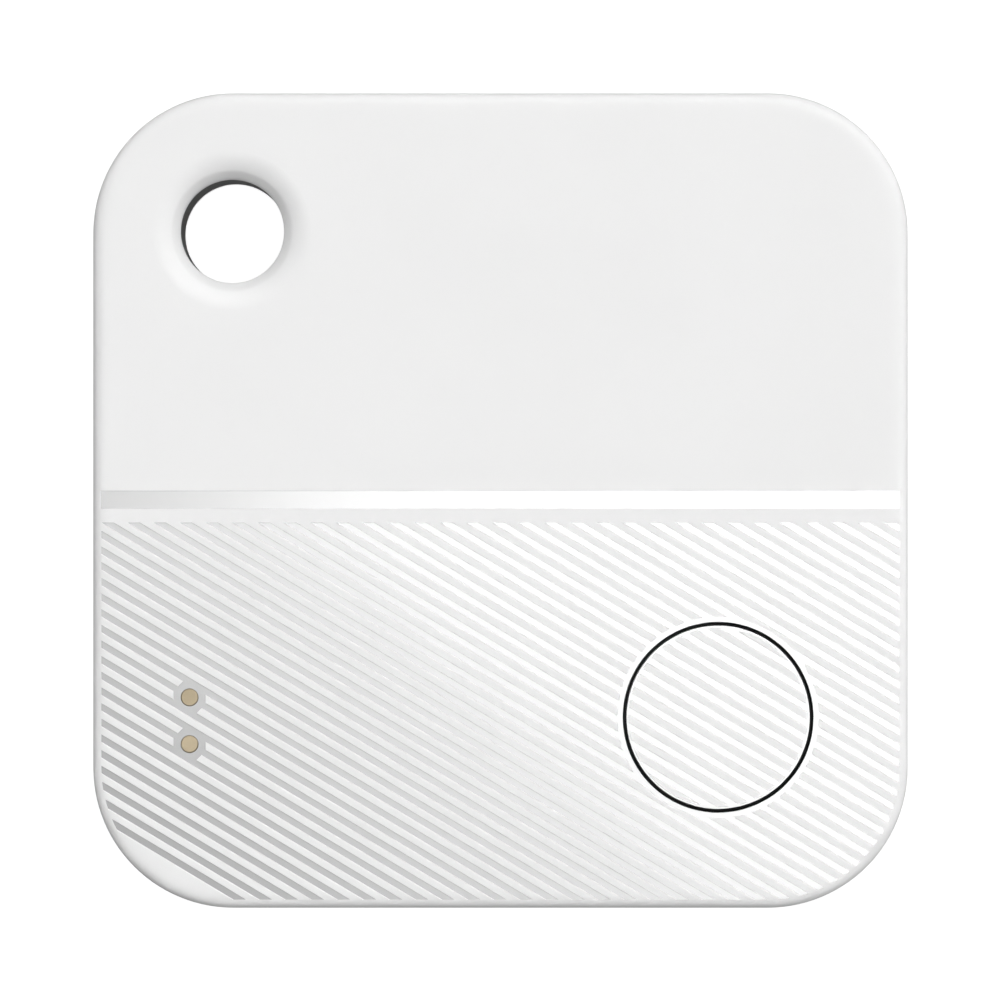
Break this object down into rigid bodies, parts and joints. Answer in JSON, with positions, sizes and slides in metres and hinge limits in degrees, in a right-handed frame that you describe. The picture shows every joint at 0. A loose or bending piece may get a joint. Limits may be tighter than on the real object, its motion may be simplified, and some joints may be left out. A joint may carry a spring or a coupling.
{
  "type": "bluetooth tracker tag",
  "caption": "Flat square tracker tag with rounded corners, a key-ring hole, a push button, fine diagonal grooves and a pry-off rear cover over a coin cell.",
  "frame": {"origin": "centre of the flat rear face, on the surface that the tag lies on", "axes": "+Z is the way the front face looks, +Y is up the face and +X to its right; the key-ring hole is at -X +Y and the button at +X -Y"},
  "size_m": [0.037, 0.037, 0.0065],
  "materials": {
    "case_plastic": "white moulded plastic, matte, with glossy recessed lines",
    "dark_sleeve": "dark grey coated sleeve, satin",
    "silicone": "black silicone, matte",
    "foam": "dark closed-cell foam",
    "gold_plate": "thin gold plating, satin",
    "holder_plastic": "black glass-filled plastic",
    "board_laminate": "green solder mask over glass laminate",
    "screw_steel": "zinc-plated steel",
    "cell_steel": "stainless steel, fine turned sheen",
    "spring_steel": "rolled spring strip, bright",
    "shield_steel": "tinned sheet, satin",
    "chip_resin": "black moulded resin",
    "white_ceramic": "fired ceramic with a silvered top",
    "brown_ceramic": "fired brown ceramic with tinned ends",
    "brass": "thin rolled brass",
    "cathode_mix": "pressed black powder",
    "separator_felt": "white felted sheet",
    "lithium": "soft grey foil"
  },
  "bodies": {
    "housing": {"front_shell": "case_plastic", "keyring_bush": "dark_sleeve", "buzzer_ring": "foam", "contact_pin_upper": "gold_plate", "contact_pin_lower": "gold_plate", "battery_holder": "holder_plastic", "switch_base": "holder_plastic", "main_board": "board_laminate", "board_screw_1": "screw_steel", "board_screw_2": "screw_steel", "board_screw_3": "screw_steel", "board_screw_4": "screw_steel", "battery_contact_negative": "spring_steel", "battery_contact_positive": "spring_steel", "buzzer_spring_rim": "spring_steel", "buzzer_spring_centre": "spring_steel", "switch_dome": "spring_steel", "switch_cover": "shield_steel", "crystal_main": "shield_steel", "crystal_sleep": "shield_steel", "radio_chip": "chip_resin", "buzzer_inductor": "chip_resin", "resistor_1": "chip_resin", "resistor_2": "chip_resin", "resistor_3": "chip_resin", "resistor_4": "chip_resin", "chip_antenna": "white_ceramic", "buzzer_ceramic": "white_ceramic", "capacitor_1": "brown_ceramic", "capacitor_2": "brown_ceramic", "capacitor_3": "brown_ceramic", "capacitor_4": "brown_ceramic", "capacitor_5": "brown_ceramic", "capacitor_6": "brown_ceramic", "buzzer_disc": "brass"},
    "cover": {"rear_cover": "case_plastic", "case_seal": "silicone", "battery_foam_pad": "foam"},
    "cell": {"battery_can": "cell_steel", "battery_gasket": "silicone", "battery_cap": "cell_steel", "battery_cathode": "cathode_mix", "battery_separator": "separator_felt", "battery_anode": "lithium"},
    "button": {"button_cap": "case_plastic", "button_membrane": "silicone"},
    "plunger": {"switch_plunger": "holder_plastic"}
  },
  "joints": [
    {"name": "button_press", "type": "slide", "parent": "housing", "child": "button", "axis": [0, 0, -1], "range_m": [0, 0.00025], "stiffness_N_per_m": 6000, "springref_m": -0.00005, "deforming": ["button_membrane", "switch_dome"]},
    {"name": "plunger_press", "type": "slide", "parent": "housing", "child": "plunger", "axis": [0, 0, -1], "range_m": [0, 0.00025]},
    {"name": "case_opening", "type": "slide", "parent": "cover", "child": "housing", "axis": [0, 0, 1], "range_m": [0, 0.012]},
    {"name": "cell_lift", "type": "slide", "parent": "cover", "child": "cell", "axis": [0, 0, 1], "range_m": [0, 0.006]}
  ],
  "couplings": [
    {"joint": "plunger_press", "follows": "button_press", "ratio": 1},
    {"joint": "cell_lift", "follows": "case_opening", "ratio": 0.5}
  ]
}
